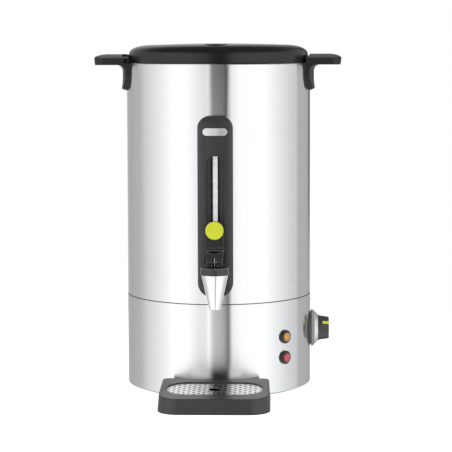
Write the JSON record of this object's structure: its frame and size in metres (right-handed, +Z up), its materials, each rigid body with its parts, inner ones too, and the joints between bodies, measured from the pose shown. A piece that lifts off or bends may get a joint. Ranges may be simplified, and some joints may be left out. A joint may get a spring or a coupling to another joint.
{
  "type": "hot water urn",
  "caption": "Cylindrical steel hot water urn on a heated base, with lift-off lid, side handles, level gauge, lever tap, thermostat knob, lamps and drip tray.",
  "frame": {"origin": "on the tank's vertical axis, at the underside of the rubber ring that the urn stands on", "axes": "+Z up along the tank's axis, -Y towards the tap, +X towards the knob"},
  "size_m": [0.3576, 0.3904, 0.4974],
  "materials": {
    "steel_sheet": "brushed",
    "steel_small": "machined",
    "black_plastic": "satin",
    "rubber": "matt",
    "silicone": "matt",
    "aluminium": "cast",
    "chrome": "polished",
    "brass": "machined",
    "copper": "drawn",
    "white_plastic": "gloss",
    "cream_plastic": "matt",
    "lime_plastic": "gloss",
    "amber_plastic": "gloss",
    "red_plastic": "gloss",
    "glass": "clear",
    "silver_plastic": "satin"
  },
  "bodies": {
    "urn": {"tank": "steel_sheet", "skirt": "steel_sheet", "seam_seal": "rubber", "foot_ring": "rubber", "base_plate": "steel_sheet", "tie_rod": "steel_small", "tie_nut": "steel_small", "heater_plate": "aluminium", "heating_element": "steel_small", "element_clamps": "steel_small", "thermostat_body": "cream_plastic", "capillary_tube": "copper", "thermal_cutout": "black_plastic", "terminal_block": "cream_plastic", "cable_gland": "black_plastic", "gland_nut": "black_plastic", "lamp_bezels": "black_plastic", "amber_lens": "amber_plastic", "red_lens": "red_plastic", "lamp_clips": "steel_small", "front_panel": "black_plastic", "panel_screws": "steel_small", "badge_plate": "white_plastic", "sight_tube": "glass", "scale_strip": "white_plastic", "tube_cap": "black_plastic", "tube_seal": "silicone", "gauge_elbow": "brass", "gauge_nut": "brass", "tap_body": "chrome", "tap_bonnet": "black_plastic", "tap_spring": "steel_small", "shank_gasket": "silicone", "shank_washer": "steel_small", "shank_nut": "steel_small", "handle_left": "black_plastic", "handle_right": "black_plastic", "handle_screws": "steel_small", "knob_dish": "black_plastic", "dial_ring": "silver_plastic"},
    "valve": {"valve_stem": "steel_small", "seat_cup": "silicone"},
    "lever": {"tap_lever": "black_plastic", "lever_pin": "steel_small", "lever_button": "lime_plastic"},
    "lid": {"lid_shell": "black_plastic", "lid_vent": "black_plastic"},
    "knob": {"knob_grip": "black_plastic", "knob_pointer": "lime_plastic", "thermostat_spindle": "steel_small"},
    "tray": {"drip_tray": "black_plastic"},
    "grille": {"drip_grille": "steel_sheet"},
    "reset": {"reset_button": "red_plastic"}
  },
  "joints": [
    {"name": "stem_lift", "type": "slide", "parent": "urn", "child": "valve", "axis": [0, 0, 1], "range_m": [0, 0.0042], "deforming": ["tap_spring"]},
    {"name": "lever_tilt", "type": "hinge", "parent": "valve", "child": "lever", "pos_m": [0, -0.17, 0.1975], "axis": [1, 0, 0], "range_deg": [0, 40], "stiffness_Nm_per_rad": 0.03, "springref_deg": -34.38},
    {"name": "lid_lift", "type": "slide", "parent": "urn", "child": "lid", "axis": [0, 0, 1], "range_m": [0, 0.15]},
    {"name": "knob_turn", "type": "hinge", "parent": "urn", "child": "knob", "pos_m": [0.15, 0, 0.0782], "axis": [-1, 0, 0], "range_deg": [-80, 190]},
    {"name": "tray_slide", "type": "slide", "parent": "urn", "child": "tray", "axis": [0, -1, 0], "range_m": [0, 0.12]},
    {"name": "grille_lift", "type": "slide", "parent": "tray", "child": "grille", "axis": [0, 0, 1], "range_m": [0, 0.05]},
    {"name": "reset_press", "type": "slide", "parent": "urn", "child": "reset", "axis": [0, 0, 1], "range_m": [0, 0.002], "stiffness_N_per_m": 400, "springref_m": -0.001}
  ],
  "couplings": [
    {"joint": "stem_lift", "follows": "lever_tilt", "m_per_rad": 0.006}
  ]
}
